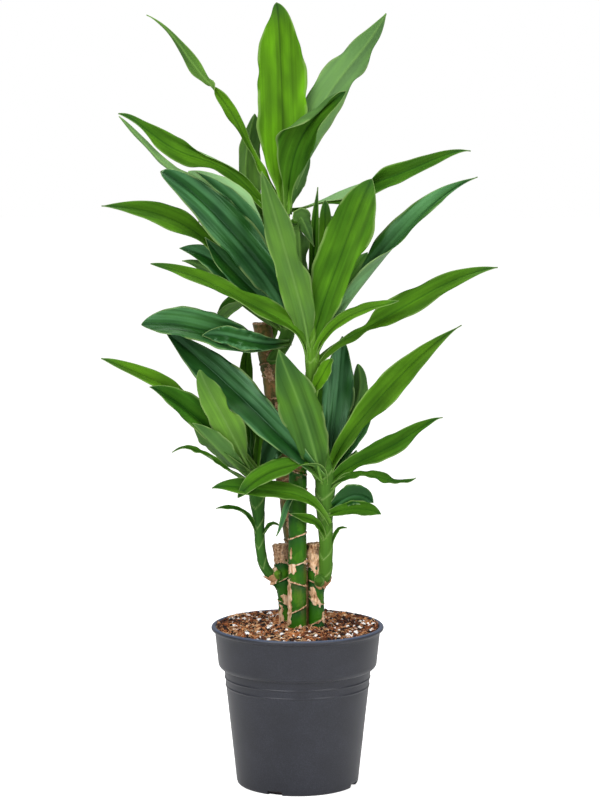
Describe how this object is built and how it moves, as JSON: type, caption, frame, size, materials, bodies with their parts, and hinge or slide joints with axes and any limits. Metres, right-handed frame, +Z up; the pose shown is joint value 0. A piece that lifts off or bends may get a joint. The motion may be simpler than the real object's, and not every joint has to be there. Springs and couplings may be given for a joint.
{
  "type": "potted corn plant",
  "caption": "Corn plant with cut canes of uneven height, arching strap leaves in rosettes, and a plain nursery pot filled with coir and perlite.",
  "frame": {"origin": "centre of the pot's underside, on the surface that the pot stands on", "axes": "+Z up along the pot's axis, -Y towards the side that the picture shows, +X to the right there"},
  "size_m": [0.4271, 0.2377, 0.8562],
  "materials": {
    "pot": "satin anthracite polypropylene",
    "soil": "loose coir and peat with perlite",
    "cane": "green bark with tan, papery leaf scars",
    "leaf": "waxy bright green leaf",
    "leaf_dark": "glossy deep green leaf"
  },
  "bodies": {
    "root": {"pot": "pot", "soil": "soil", "cane_tall": "cane", "cane_middle": "cane", "cane_short_left": "cane", "cane_short_right": "cane", "head_top": "leaf", "head_left": "leaf_dark", "head_middle": "leaf", "head_low_right": "leaf", "head_low_left": "leaf_dark"}
  },
  "joints": []
}
